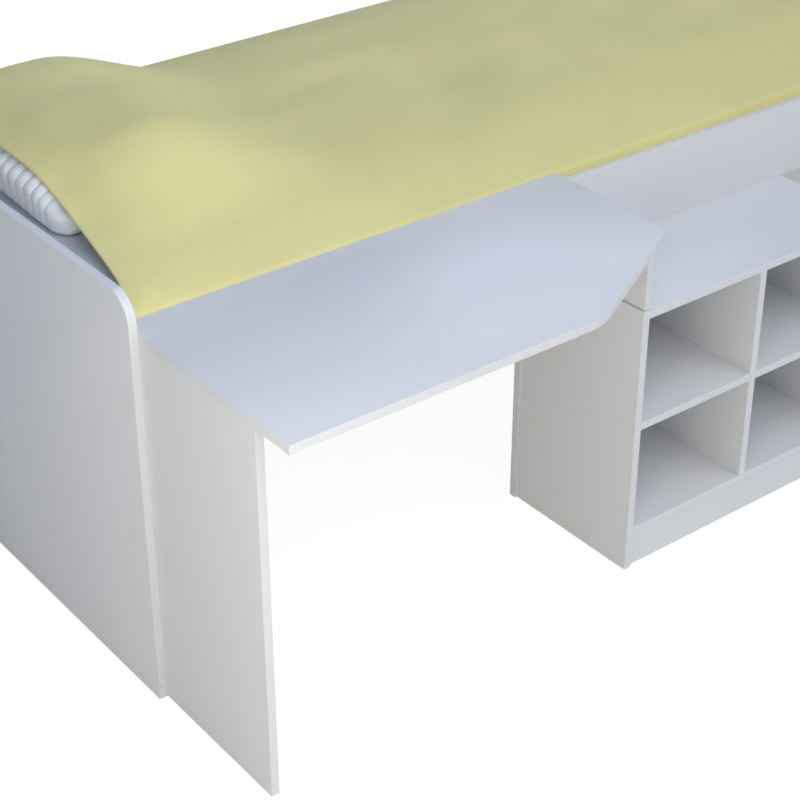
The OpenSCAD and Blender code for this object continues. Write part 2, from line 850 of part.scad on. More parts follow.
// Where the hem at the head lies: nearer the end panel at the duvet's two corners
function hem_x(y) =
    let (side = min(y - y_rail_in, y_rear_in - y))
        x_head_in + duvet_start
            - hem_corner * (1 - smooth(0, hem_corner_w, side))
            + hem_bow * smooth(inner_w / 3, inner_w / 2, side);

// One line across the bed, from the front tuck over the top to the rear tuck
function duvet_line(along, side, top, r, rise) =
    let (
        y0 = y_rail_in + side,
        y1 = y_rear_in - side,
        z0 = z_rail_top - duvet_tuck,
        front = arc([y0 + r, top - r], r, 180, 90, duvet_roll_steps),
        rear = arc([y1 - r, top - r], r, 90, 0, duvet_roll_steps),
        flat = [for (i = [1 : duvet_flat_steps - 1])
            [y0 + r + (y1 - y0 - 2 * r) * i / duvet_flat_steps, top]],
        line = concat([[y0, z0]], front, flat, rear, [[y1, z0]]))
    [for (p = line)
        let (
            hem = hem_x(p.x),
            x = hem + (x_foot_in - end_gap - hem) * along,
            lift = pillow_lift(x, p.x) + rise * duvet_rise(x, p.x))
        [x, p.x, p.y + (p.y > top - r ? lift * smooth(top - r, top, p.y) : 0)]];

// The duvet is thin at its two hems and full in between
function duvet_fullness(i) =
    smooth(0, 0.035, pow(i / duvet_rows, duvet_ease))
        * smooth(0, 0.03, 1 - pow(i / duvet_rows, duvet_ease));

module duvet() {
    rows = [for (i = [0 : duvet_rows]) pow(i / duvet_rows, duvet_ease)];
    under = z_mattress_top + soft_gap;
    inner_r = mattress_edge_r * 0.75;
    outer = [for (i = [0 : duvet_rows])
        let (full = duvet_fullness(i))
            duvet_line(rows[i], soft_gap, under + duvet_hem_t
                       + (duvet_t - duvet_hem_t) * full, duvet_roll_r, 0.3 + 0.7 * full)];
    inner = [for (i = [0 : duvet_rows])
        duvet_line(rows[i], side_gap - soft_gap, under, inner_r, 0.3)];
    color(DUVET_GREEN) shell(outer, inner);
}

// A closed shell between two open grids of points that have the same rows and columns
module shell(outer, inner) {
    n = len(outer[0]);
    rows = len(outer);
    size = n * rows;
    grid = [for (i = [0 : rows - 2], j = [0 : n - 2])
        let (a = i * n + j, b = a + 1, c = a + n, d = c + 1)
            each [[a, b, c], [b, d, c],
                  [size + a, size + c, size + b], [size + b, size + c, size + d]]];
    ends = [for (j = [0 : n - 2])
        let (a = j, b = j + 1, c = (rows - 1) * n + j, d = c + 1)
            each [[a, size + a, b], [b, size + a, size + b],
                  [c, d, size + c], [d, size + d, size + c]]];
    sides = [for (i = [0 : rows - 2])
        let (a = i * n, b = a + n, c = a + n - 1, d = c + n)
            each [[a, b, size + a], [b, size + b, size + a],
                  [c, size + c, d], [d, size + c, size + d]]];
    polyhedron(concat([for (r = outer) each r], [for (r = inner) each r]),
               concat(grid, ends, sides));
}

left_end_panel();
right_end_panel();
front_rail();
rear_rail();
front_slat_ledge();
rear_slat_ledge();
for (i = [1 : slat_count]) slat(i);
slat_straps();
desk_top();
desk_leg_panel();
desk_riser();
bookcase_left_side();
bookcase_right_side();
bookcase_divider();
bookcase_top();
bookcase_bottom();
bookcase_plinth();
bookcase_left_shelf();
bookcase_right_shelf();
bookcase_rear_panel();
cam_locks();
cam_bolts();
cover_caps();
wooden_dowels();
panel_screws();
ledge_screws();
slat_screws();
buffer_discs();
floor_glides();
mattress();
pillow();
duvet();
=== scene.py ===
import math

import bmesh
import bpy
import numpy as np
from mathutils import Matrix, Vector


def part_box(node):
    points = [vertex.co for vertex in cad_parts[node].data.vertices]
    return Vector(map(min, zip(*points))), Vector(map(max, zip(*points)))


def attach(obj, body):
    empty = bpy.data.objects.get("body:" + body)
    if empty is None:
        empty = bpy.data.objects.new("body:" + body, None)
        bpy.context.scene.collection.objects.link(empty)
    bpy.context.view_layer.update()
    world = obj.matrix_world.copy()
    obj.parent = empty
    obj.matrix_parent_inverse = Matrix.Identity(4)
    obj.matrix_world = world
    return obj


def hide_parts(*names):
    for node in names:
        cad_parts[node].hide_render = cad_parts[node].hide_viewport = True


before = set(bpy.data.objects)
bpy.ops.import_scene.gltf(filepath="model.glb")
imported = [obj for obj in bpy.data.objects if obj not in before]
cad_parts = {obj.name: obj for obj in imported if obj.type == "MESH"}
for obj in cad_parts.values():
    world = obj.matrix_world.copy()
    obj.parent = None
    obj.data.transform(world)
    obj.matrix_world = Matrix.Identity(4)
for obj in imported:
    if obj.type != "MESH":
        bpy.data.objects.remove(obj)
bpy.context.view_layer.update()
scene = bpy.context.scene

# A cabin bed with a fixed desk and a bookcase, built up on the boxes of the CAD's nodes.
# Lengths are in metres; +X runs from the head to the foot, +Y from the desk to the rear.
# Values that start with M_ belong to the mattress, P_ to the pillow and D_ to the duvet.

# ------------------------------------------------------------------ camera
# solved from the bed's right angles in the photograph
AZIMUTH, ELEVATION = math.radians(-37.909), math.radians(31.565)
CAMERA_AT = Vector((-2.2617, -2.5623, 2.1960))

back = Vector((math.sin(AZIMUTH) * math.cos(ELEVATION),
               -math.cos(AZIMUTH) * math.cos(ELEVATION),
               math.sin(ELEVATION)))
right = Vector((math.cos(AZIMUTH), math.sin(AZIMUTH), 0))
stance = Matrix((right, back.cross(right), back)).transposed().to_4x4()
stance.translation = CAMERA_AT
lens = bpy.data.cameras.new("camera")
lens.lens = 85.37
lens.sensor_width = 36
lens.clip_end = 80
camera = bpy.data.objects.new("camera", lens)
camera.matrix_world = stance
scene.collection.objects.link(camera)
scene.camera = camera

# ------------------------------------------------------- planes of the frame
X_HEAD, X_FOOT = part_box("left_end_panel")[1].x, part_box("right_end_panel")[0].x
Y_RAIL, Y_RAIL_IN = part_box("front_rail")[0].y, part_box("front_rail")[1].y
Y_REAR_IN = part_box("rear_rail")[0].y
Z_RAIL, Z_RAIL_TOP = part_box("front_rail")[0].z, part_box("front_rail")[1].z
MATTRESS_LOW, MATTRESS_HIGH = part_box("mattress")
INNER_W = Y_REAR_IN - Y_RAIL_IN


def smooth(a, b, t):
    """0 before a, 1 after b, and a soft step between"""
    s = np.clip((np.asarray(t, float) - a) / (b - a), 0, 1)
    return s * s * (3 - 2 * s)


def arc(cx, cy, r, start, end, steps):
    """Points on an arc, from one angle in degrees to another"""
    return [(cx + r * math.cos(math.radians(start + (end - start) * i / steps)),
             cy + r * math.sin(math.radians(start + (end - start) * i / steps)))
            for i in range(steps + 1)]


# ---------------------------------------------------------------- materials
class Tree:
    """A node tree, with a short way to add a node"""

    def __init__(self, tree):
        self.tree = tree

    def feed(self, socket, value):
        """Link a socket to another one, or set it to a plain value"""
        if isinstance(value, bpy.types.NodeSocket):
            self.tree.links.new(value, socket)
        else:
            socket.default_value = value

    def add(self, kind, inputs=None, **settings):
        node = self.tree.nodes.new(kind)
        for key, value in settings.items():
            setattr(node, key, value)
        for key, value in (inputs or {}).items():
            self.feed(node.inputs[key], value)
        return node

    def calc(self, operation, a, b=0.0):
        return self.add("ShaderNodeMath", {0: a, 1: b}, operation=operation).outputs[0]


class Surface(Tree):
    """A material: the shader's plain values, and textures in the object's own metres"""

    def __init__(self, name, color, roughness, **uniform):
        self.mat = bpy.data.materials.new(name)
        self.mat.use_nodes = True
        super().__init__(self.mat.node_tree)
        self.bsdf = self.tree.nodes["Principled BSDF"]
        self.bsdf.inputs["Base Color"].default_value = (*color, 1)
        self.bsdf.inputs["Roughness"].default_value = roughness
        for key, value in uniform.items():
            self.bsdf.inputs[key.replace("_", " ")].default_value = value
        self.coord = self.add("ShaderNodeTexCoord").outputs["Object"]
        self.color = color

    def stretched(self, scale):
        return self.add("ShaderNodeMapping", {"Vector": self.coord, "Scale": scale}).outputs[0]

    def noise(self, scale, detail=3, roughness=0.5, distortion=0.0, at=None):
        return self.add("ShaderNodeTexNoise", {
            "Vector": at or self.coord, "Scale": scale, "Detail": detail,
            "Roughness": roughness, "Distortion": distortion}).outputs["Fac"]

    def wave(self, scale, direction, distortion=0.0, at=None):
        return self.add("ShaderNodeTexWave", {
            "Vector": at or self.coord, "Scale": scale, "Distortion": distortion,
            "Detail": 1.0}, wave_type="BANDS", bands_direction=direction).outputs["Fac"]

    def remap(self, value, low, high, to_low, to_high):
        return self.add("ShaderNodeMapRange", {
            "Value": value, "From Min": low, "From Max": high,
            "To Min": to_low, "To Max": to_high}).outputs[0]

    def mix(self, share, a, b):
        """A colour between two colours"""
        node = self.add("ShaderNodeMix", {0: share}, data_type="RGBA")
        for socket, color in ((node.inputs[6], a), (node.inputs[7], b)):
            self.feed(socket, (*color, 1) if isinstance(color, tuple) else color)
        return node.outputs[2]

    def shade(self, factor):
        """The material's colour times a factor"""
        return tuple(min(1.0, c * factor) for c in self.color)

    def set(self, socket, value):
        self.tree.links.new(value, self.bsdf.inputs[socket])

    def bump(self, height, strength, distance, under=None):
        inputs = {"Height": height, "Strength": strength, "Distance": distance}
        if under is not None:
            inputs["Normal"] = under
        return self.add("ShaderNodeBump", inputs).outputs[0]


def laminate(name, color, roughness=0.36, wear=0.0):
    """Melamine facing: a faint pearl texture, smudges in its gloss, a hardly seen mottle"""
    m = Surface(name, color, roughness)
    mottle = m.noise(2.3, 4)
    m.set("Base Color", m.mix(m.remap(mottle, 0.3, 0.7, 0, 1), m.shade(0.985), m.shade(1.012)))
    smudge = m.noise(6.0, 5, 0.6)
    fine = m.noise(260.0, 2)
    gloss = m.remap(smudge, 0.3, 0.75, roughness - 0.05, roughness + 0.09)
    m.set("Roughness", m.calc("ADD", gloss, m.remap(fine, 0, 1, -0.02, 0.02 + wear)))
    pearl = m.noise(1500.0, 2)
    peel = m.noise(120.0, 2)
    m.set("Normal", m.bump(pearl, 0.10, 0.0001, m.bump(peel, 0.06, 0.0002)))
    return m.mat


def timber(name, color, along):
    """Planed softwood: growth rings and darker streaks, drawn out along the piece"""
    m = Surface(name, color, 0.6)
    scale = [1.0, 1.0, 1.0]
    scale[along] = 0.06
    at = m.stretched(tuple(scale))
    rings = m.wave(55.0, "DIAGONAL", 9.0, at)
    streak = m.noise(140.0, 4, 0.6, 0.4, at)
    broad = m.noise(6.0, 3, 0.5, 0.0, at)
    grain = m.calc("ADD", m.calc("MULTIPLY", rings, 0.55), m.calc("MULTIPLY", streak, 0.45))
    tone = m.mix(m.remap(grain, 0.25, 0.8, 0, 1), m.shade(0.80), m.shade(1.08))
    m.set("Base Color", m.mix(m.remap(broad, 0.3, 0.7, 0, 0.35), tone, m.shade(0.9)))
    m.set("Roughness", m.remap(streak, 0.2, 0.8, 0.5, 0.7))
    m.set("Normal", m.bump(grain, 0.25, 0.0004))
    return m.mat


def cloth(name, color, thread, roughness, sheen, crease, tone=0.05, strength=0.25):
    """Woven cotton: two threads across each other, soft creases, a slightly uneven dye"""
    m = Surface(name, color, roughness, Sheen_Weight=sheen, Sheen_Roughness=0.45,
                Specular_IOR_Level=0.25)
    count = 0.16 / thread
    warp = m.wave(count, "X", 0.6)
    weft = m.wave(count, "Y", 0.6)
    rise = m.wave(count, "Z", 0.6)
    weave = m.calc("ADD", m.calc("MAXIMUM", warp, weft), m.calc("MULTIPLY", rise, 0.5))
    slub = m.noise(90.0, 3, 0.55)
    dye = m.noise(3.2, 4, 0.55)
    mixed = m.mix(m.remap(dye, 0.3, 0.7, 0, 1), m.shade(1 - tone), m.shade(1 + tone * 0.6))
    m.set("Base Color", m.mix(m.remap(slub, 0.35, 0.75, 0, 0.10), mixed, m.shade(0.8)))
    m.set("Roughness", m.remap(slub, 0.2, 0.8, roughness - 0.06, roughness + 0.06))
    soft = m.bump(m.noise(24.0, 4, 0.5, 0.8), crease, 0.0016)
    m.set("Normal", m.bump(weave, strength, 0.00022, m.bump(slub, 0.18, 0.0003, soft)))
    return m.mat


def metal(name, color, roughness, brush=0.0):
    """Bare or plated metal, with a fine grain and uneven gloss"""
    m = Surface(name, color, roughness, Metallic=1.0)
    grain = m.noise(420.0, 3)
    m.set("Base Color", m.mix(m.remap(grain, 0.3, 0.7, 0, 1), m.shade(0.88), m.shade(1.05)))
    m.set("Roughness", m.remap(m.noise(60.0, 4), 0.3, 0.7, roughness - 0.07, roughness + 0.12))
    m.set("Normal", m.bump(grain, 0.12 + brush, 0.0001))
    return m.mat


def plastic(name, color, roughness=0.45):
    """Moulded plastic with a fine matt skin"""
    m = Surface(name, color, roughness)
    m.set("Base Color", m.mix(m.noise(14.0, 3), m.shade(0.96), m.shade(1.02)))
    m.set("Roughness", m.remap(m.noise(40.0, 3), 0.3, 0.7, roughness - 0.06, roughness + 0.08))
    m.set("Normal", m.bump(m.noise(900.0, 2), 0.15, 0.0001))
    return m.mat


WHITE = laminate("white_laminate", (0.80, 0.80, 0.80))
BAND = laminate("edge_band", (0.80, 0.80, 0.80), roughness=0.30, wear=0.03)
PINE_Y = timber("pine_across", (0.76, 0.60, 0.40), along=1)
PINE_X = timber("pine_along", (0.74, 0.58, 0.39), along=0)
BEECH = timber("beech", (0.70, 0.53, 0.36), along=0)
ZINC = metal("zinc", (0.62, 0.63, 0.65), 0.42)
STEEL = metal("plated_steel", (0.70, 0.71, 0.73), 0.3, brush=0.05)
CAP = plastic("white_plastic", (0.80, 0.82, 0.85))
DUVET = cloth("duvet_cotton", (0.847, 0.756, 0.328), 0.0006, 0.88, sheen=0.15, crease=0.30)
PILLOW = cloth("pillow_cotton", (0.96, 0.945, 0.91), 0.0006, 0.80, sheen=0.4, crease=0.2,
               tone=0.03)
TICKING = cloth("mattress_ticking", (0.60, 0.61, 0.64), 0.0011, 0.9, sheen=0.25, crease=0.3,
                tone=0.08, strength=0.4)
PIPING = cloth("mattress_piping", (0.66, 0.67, 0.70), 0.0008, 0.85, sheen=0.2, crease=0.1)
WEBBING = cloth("webbing", (0.62, 0.59, 0.50), 0.0014, 0.9, sheen=0.1, crease=0.1,
                strength=0.6)


# ------------------------------------------------------------ making pieces
def hard_piece(bm, name, materials, sharp):
    """A piece from a bmesh, with a crisp edge where faces turn by more than `sharp` degrees"""
    mesh = bpy.data.meshes.new(name)
    bm.to_mesh(mesh)
    bm.free()
    for mat in materials:
        mesh.materials.append(mat)
    mesh.set_sharp_from_angle(angle=math.radians(sharp))
    piece = bpy.data.objects.new(name, mesh)
    scene.collection.objects.link(piece)
    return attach(piece, "root")


def board(node, across, outline=None, flush=(), face=WHITE, edge=BAND,
          soften=0.0004):
    """A board in place of a CAD node, with softened edges and an edge strip's own material.

    `across` is the axis of its thickness; `outline` runs round it in the other two.
    An edge in a `flush` plane, such as "+z", lies against another board and stays sharp."""
    low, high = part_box(node)
    u, v = [k for k in range(3) if k != across]
    if outline is None:
        outline = [(low[u], low[v]), (high[u], low[v]), (high[u], high[v]), (low[u], high[v])]
    bm = bmesh.new()
    rings = []
    for level in (low[across], high[across]):
        ring = []
        for a, b in outline:
            p = [0.0, 0.0, 0.0]
            p[u], p[v], p[across] = a, b, level
            ring.append(bm.verts.new(p))
        bm.faces.new(ring)
        rings.append(ring)
    for i in range(len(outline)):
        j = (i + 1) % len(outline)
        bm.faces.new((rings[0][i], rings[0][j], rings[1][j], rings[1][i]))
    bmesh.ops.recalc_face_normals(bm, faces=bm.faces)
    planes = [("xyz".index(f[1]), (high if f[0] == "+" else low)["xyz".index(f[1])])
              for f in flush]
    sharp = [e for e in bm.edges if e.calc_face_angle(0) > math.radians(25)
             and not any(all(abs(v.co[k] - at) < 1e-5 for v in e.verts) for k, at in planes)]
    bmesh.ops.bevel(bm, geom=sharp, offset=soften, segments=3, profile=0.5,
                    affect="EDGES", clamp_overlap=True)
    largest = max(f.calc_area() for f in bm.faces)
    for f in bm.faces:
        flat = abs(f.normal[across]) > 0.9999
        facing = flat and len(f.verts) >= 4 and f.calc_area() > 0.3 * largest
        f.material_index = 0 if facing else 1
        f.smooth = not flat
    piece = hard_piece(bm, "piece_" + node, [face, edge], 28)
    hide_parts(node)
    return piece


END_CORNER = 0.050  # radius of the end panels' upper corners
DESK_FRONT, DESK_SLOPE = 0.610, 28.5  # length of its straight front, and the slope after it
DESK_BEND, DESK_CORNER = 0.130, 0.070  # radii where the slope starts, and where it ends


def end_panel(node):
    """A head or foot panel, with its two upper corners rounded"""
    low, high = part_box(node)
    r = END_CORNER
    outline = ([(low.y, low.z), (high.y, low.z)]
               + arc(high.y - r, high.z - r, r, 0, 90, 22)
               + arc(low.y + r, high.z - r, r, 90, 180, 22))
    return board(node, 0, outline)


def desk():
    """The desk top: a straight front that bends back to a rounded corner at its right end"""
    low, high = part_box("desk_top")
    slope = math.radians(DESK_SLOPE)
    bend_x = low.x + DESK_FRONT - DESK_BEND * math.tan(slope / 2)
    turn_y = (low.y + (high.x - low.x - DESK_FRONT) * math.tan(slope)
              + DESK_CORNER * math.tan((math.pi / 2 - slope) / 2))
    outline = ([(low.x, high.y), (low.x, low.y)]
               + arc(bend_x, low.y + DESK_BEND, DESK_BEND, -90, DESK_SLOPE - 90, 16)
               + arc(high.x - DESK_CORNER, turn_y, DESK_CORNER, DESK_SLOPE - 90, 0, 24)
               + [(high.x, high.y)])
    return board("desk_top", 2, outline, ("-z",))


for node in ("left_end_panel", "right_end_panel"):
    end_panel(node)
desk()
for node in ("front_rail", "rear_rail"):
    board(node, 1, flush=("-x", "+x"))
board("bookcase_plinth", 1, flush=("-x", "+x", "+z"))
board("bookcase_rear_panel", 1, flush=("-y",))
for node in ("desk_leg_panel", "desk_riser", "bookcase_left_side", "bookcase_right_side"):
    board(node, 0, flush=("+z", "+y"))
board("bookcase_divider", 0, flush=("-z", "+z", "+y"))
board("bookcase_top", 2, flush=("-z", "+y"))
for node in ("bookcase_bottom", "bookcase_left_shelf", "bookcase_right_shelf"):
    board(node, 2, flush=("-x", "+x", "+y"))
for node in sorted(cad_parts):
    if node.startswith("slat_") and node[5:].isdigit():
        board(node, 2, face=PINE_Y, edge=PINE_Y, soften=0.0022)
for node in ("front_slat_ledge", "rear_slat_ledge"):
    board(node, 1, face=PINE_X, edge=PINE_X, soften=0.0015)

# ----------------------------------------------------------------- fittings
ROUND, CROSS, HEXAGON = 0, 4, 6

# profiles of turned parts, from the middle out: radius, height over the face, shape there
CAP_PROFILE = [(0, 0.0008, ROUND), (0.0055, 0.00078, ROUND), (0.0078, 0.0006, ROUND),
               (0.0088, 0.0003, ROUND), (0.0090, 0.0, ROUND), (0.0086, -0.0004, ROUND)]
CAM_PROFILE = [(0, -0.0018, ROUND), (0.0044, -0.0018, CROSS), (0.0047, 0.00025, CROSS),
               (0.0068, 0.0003, ROUND), (0.0074, 0.0002, ROUND), (0.0075, -0.0008, ROUND),
               (0.0075, -0.0100, ROUND)]
PANEL_SCREW = [(0, -0.0014, ROUND), (0.0019, -0.0014, HEXAGON), (0.0021, 0.0002, HEXAGON),
               (0.0040, 0.0003, ROUND), (0.0044, 0.0001, ROUND), (0.0045, -0.0008, ROUND)]
WOOD_SCREW = [(0, -0.0012, ROUND), (0.0016, -0.0012, CROSS), (0.0019, 0.0001, CROSS),
              (0.0030, 0.0002, ROUND), (0.0034, 0.0, ROUND), (0.0035, -0.0006, ROUND)]

CAM_BACK = 0.034  # a cam's middle, from the joint that it pulls together
DESK_CAM_FRONT, DESK_CAM_REAR = 0.050, 0.090  # from an upright's front edge, and from the rail
UPRIGHT_CAMS = 0.025, 0.049  # in the uprights, from the rail's lower and upper edges
RAIL_CAMS = 0.039, 0.035  # in the rails, from the same edges
CASE_CAM_IN = 0.045  # in the bookcase, from its top's front and rear edges
PANEL_SCREW_IN = 0.060  # above the bottom board's underside, below the shelf and the top's face
LEDGE_SCREW_IN, LEDGE_SCREWS = 0.164, 6  # from the end panels, and how many
SLAT_SCREW_IN = 0.0125  # from a rail's inner face


def radius_at(r, a, shape):
    """Radius of a round, a hexagon or a cross at an angle round it"""
    if shape == HEXAGON:
        return r * math.cos(math.pi / 6) / math.cos((a % (math.pi / 3)) - math.pi / 6)
    if shape == CROSS:
        return r * (0.34 + 0.66 * abs(math.cos(2 * a)) ** 7)
    return r


def turned(node, places, profile, mat, steps=36):
    """Small turned parts in place of a CAD node, one for each (place, direction out)"""
    bm = bmesh.new()
    for at, normal in places:
        z = Vector(normal)
        x = z.orthogonal().normalized()
        y = z.cross(x)
        rings = []
        for r, h, shape in profile:
            if r == 0:
                rings.append([bm.verts.new(Vector(at) + z * h)])
                continue
            ring = []
            for i in range(steps):
                a = 2 * math.pi * i / steps
                k = radius_at(r, a, shape)
                ring.append(bm.verts.new(Vector(at) + x * k * math.cos(a)
                                         + y * k * math.sin(a) + z * h))
            rings.append(ring)
        for inner, outer in zip(rings, rings[1:]):
            for i in range(steps):
                j = (i + 1) % steps
                if len(inner) == 1:
                    bm.faces.new((inner[0], outer[i], outer[j]))
                else:
                    bm.faces.new((inner[i], outer[i], outer[j], inner[j]))
    for f in bm.faces:
        f.smooth = True
    bmesh.ops.recalc_face_normals(bm, faces=bm.faces)
    piece = hard_piece(bm, "piece_" + node, [mat], 32)
    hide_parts(node)
    return piece


case_low, case_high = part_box("bookcase_top")
case_in = (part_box("bookcase_left_side")[1].x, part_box("bookcase_right_side")[0].x)
case_rows = (case_low.y + CASE_CAM_IN, case_high.y - CASE_CAM_IN)
bottom_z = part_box("bookcase_bottom")[0].z

# cams under a cap: in the desk's two uprights, and in the bookcase's sides
capped = []
for low, high in (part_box("desk_leg_panel"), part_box("desk_riser")):
    for y, z in ((low.y + DESK_CAM_FRONT, Z_RAIL_TOP - CAM_BACK),
                 (Y_RAIL - DESK_CAM_REAR, Z_RAIL_TOP - CAM_BACK),
                 (Y_RAIL - CAM_BACK, Z_RAIL + UPRIGHT_CAMS[0]),
                 (Y_RAIL - CAM_BACK, Z_RAIL_TOP - UPRIGHT_CAMS[1])):
        capped.append(((high.x, y, z), (1, 0, 0)))
capped += [((x, y, case_low.z - CAM_BACK), (side, 0, 0))
           for x, side in zip(case_in, (1, -1)) for y in case_rows]
turned("cover_caps", capped, CAP_PROFILE, CAP)

# open cams: in the rails' inner faces, and under the bookcase
open_cams = [((x, y, z), (0, side, 0))
             for x in (X_HEAD + CAM_BACK, X_FOOT - CAM_BACK)
             for y, side in ((Y_RAIL_IN, 1), (Y_REAR_IN, -1))
             for z in (Z_RAIL + RAIL_CAMS[0], Z_RAIL_TOP - RAIL_CAMS[1])]
open_cams += [((x, y, bottom_z), (0, 0, -1))
              for x in (case_in[0] + CAM_BACK, case_in[1] - CAM_BACK) for y in case_rows]
turned("cam_locks", open_cams, CAM_PROFILE, ZINC)

# the rear panel's screws, into the middle of each upright
rear_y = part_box("bookcase_rear_panel")[1].y
uprights = [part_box("bookcase_" + name) for name in ("left_side", "divider", "right_side")]
screw_rows = (bottom_z + PANEL_SCREW_IN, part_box("bookcase_left_shelf")[0].z - PANEL_SCREW_IN,
              case_high.z - PANEL_SCREW_IN)
turned("panel_screws",
       [(((low.x + high.x) / 2, rear_y, z), (0, 1, 0)) for low, high in uprights
        for z in screw_rows],
       PANEL_SCREW, STEEL)

ledge_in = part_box("front_slat_ledge")[1].y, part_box("rear_slat_ledge")[0].y
pitch = (X_FOOT - X_HEAD - 2 * LEDGE_SCREW_IN) / (LEDGE_SCREWS - 1)
ledge_z = (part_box("front_slat_ledge")[0].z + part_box("front_slat_ledge")[1].z) / 2
turned("ledge_screws",
       [((X_HEAD + LEDGE_SCREW_IN + pitch * i, y, ledge_z), (0, side, 0))
        for y, side in zip(ledge_in, (1, -1)) for i in range(LEDGE_SCREWS)],
       WOOD_SCREW, STEEL)

slat_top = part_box("slat_01")[1].z
turned("slat_screws",
       [(((low.x + high.x) / 2, y, slat_top), (0, 0, 1))
        for low, high in (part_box("slat_01"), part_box("slat_14"))
        for y in (Y_RAIL_IN + SLAT_SCREW_IN, Y_REAR_IN - SLAT_SCREW_IN)],
       WOOD_SCREW, STEEL)

# these keep the CAD's own meshes
for node, mat in (("cam_bolts", STEEL), ("wooden_dowels", BEECH), ("slat_straps", WEBBING),
                  ("buffer_discs", CAP), ("floor_glides", CAP)):
    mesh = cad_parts[node].data
    mesh.materials.clear()
    mesh.materials.append(mat)


# -------------------------------------------------------------- soft pieces
def soft_piece(name, verts, faces, material):
    """A smooth-shaded piece in one material, with all its faces turned outwards"""
    mesh = bpy.data.meshes.new(name)
    mesh.from_pydata(verts, [], faces)
    mesh.materials.append(material)
    mesh.polygons.foreach_set("use_smooth", [True] * len(mesh.polygons))
    bm = bmesh.new()
    bm.from_mesh(mesh)
    bmesh.ops.recalc_face_normals(bm, faces=bm.faces)
    bm.to_mesh(mesh)
    bm.free()
    piece = bpy.data.objects.new(name, mesh)
    scene.collection.objects.link(piece)
    return piece


def hoop_faces(hoops, count):
    """Faces between hoops of `count` points, each hoop closed"""
    faces = []
    for i in range(hoops - 1):
        for j in range(count):
            k = (j + 1) % count
            faces.append((i * count + j, i * count + k, (i + 1) * count + k, (i + 1) * count + j))
    return faces


def cushion(name, hoops, material):
    """A closed piece through hoops of points, with a fan of faces over its two ends"""
    count = hoops.shape[1]
    verts = [tuple(p) for p in hoops.reshape(-1, 3)]
    faces = hoop_faces(len(hoops), count)
    for i, turn_back in ((0, True), (len(hoops) - 1, False)):
        middle = len(verts)
        verts.append(tuple(hoops[i].mean(axis=0)))
        for j in range(count):
            pair = (i * count + j, i * count + (j + 1) % count)
            faces.append((middle, *(pair[::-1] if turn_back else pair)))
    return soft_piece(name, verts, faces, material)


def swell(piece, pins, pressure, cap, steps=10):
    """Blow a padded piece up as cloth held at its seams, then keep the shape it takes.

    No point moves by more than `cap`."""
    mesh = piece.data
    before = np.empty(len(mesh.vertices) * 3)
    mesh.vertices.foreach_get("co", before)
    group = piece.vertex_groups.new(name="seams")
    group.add([int(i) for i in pins], 1.0, "REPLACE")
    mod = piece.modifiers.new("cloth", "CLOTH")
    mod.point_cache.frame_start, mod.point_cache.frame_end = 1, steps
    cloth_set = mod.settings
    cloth_set.quality, cloth_set.mass = 5, 0.1
    cloth_set.tension_stiffness = cloth_set.compression_stiffness = 2
    cloth_set.shear_stiffness, cloth_set.bending_stiffness = 1, 0.02
    cloth_set.vertex_group_mass = "seams"
    cloth_set.use_pressure, cloth_set.uniform_pressure_force = True, pressure
    cloth_set.effector_weights.gravity = 0
    for step in range(1, steps + 1):
        scene.frame_set(step)
    grown = piece.evaluated_get(bpy.context.evaluated_depsgraph_get()).data
    after = np.empty(len(mesh.vertices) * 3)
    grown.vertices.foreach_get("co", after)
    piece.modifiers.remove(mod)
    piece.vertex_groups.remove(group)
    scene.frame_set(1)
    before, move = before.reshape(-1, 3), (after - before).reshape(-1, 3)
    far = np.linalg.norm(move, axis=1, keepdims=True) + 1e-9
    moved = before + move * (cap * np.tanh(far / cap) / far)
    mesh.vertices.foreach_set("co", moved.ravel())
    mesh.update()


# ----------------------------------- the mattress: a foam core with piped rims
M_EDGE, M_BROW, M_CORNER = 0.016, 0.040, 0.044  # radii of its lower and upper edges and corners
M_CROWN, M_CROWN_IN = 0.003, 0.14  # its middle's rise, and how far in from the edge it ends
M_HOLLOW = 0.0030  # how far its sides draw in
M_GAP = round(MATTRESS_LOW.y - Y_RAIL_IN, 6)  # between it and a rail
M_POINTS = 0.035  # spacing of the points round it
M_CORD = 0.0028  # radius of the piping
M_CORDS = (0.0032, 0.0075), (0.0107, -0.0137)  # inset, and height from the lower or upper face


def mattress_hoop(inset, z):
    """Points round the mattress at a height, drawn in by an inset"""
    low, high = MATTRESS_LOW, MATTRESS_HIGH
    mid = (low + high) / 2
    r = max(M_CORNER - inset, 0.004)
    hx, hy = (high.x - low.x) / 2 - inset, (high.y - low.y) / 2 - inset
    bends = []
    for c, (sx, sy) in enumerate(((1, 1), (-1, 1), (-1, -1), (1, -1))):
        bends += arc(mid.x + sx * (hx - r), mid.y + sy * (hy - r), r, 90 * c, 90 * c + 90, 8)
    hoop = []
    for p, q in zip(bends, bends[1:] + bends[:1]):
        steps = max(1, int(round(math.dist(p, q) / M_POINTS)))
        hoop += [(p[0] + (q[0] - p[0]) * k / steps, p[1] + (q[1] - p[1]) * k / steps, z)
                 for k in range(steps)]
    return hoop


def respaced(hoop, count):
    """The same closed hoop with another count of points, evenly spread along it"""
    path = np.array(hoop + [hoop[0]])
    walked = np.r_[0, np.cumsum(np.linalg.norm(np.diff(path, axis=0), axis=1))]
    want = np.linspace(0, walked[-1], count, endpoint=False)
    return np.stack([np.interp(want, walked, path[:, k]) for k in range(3)], axis=1)


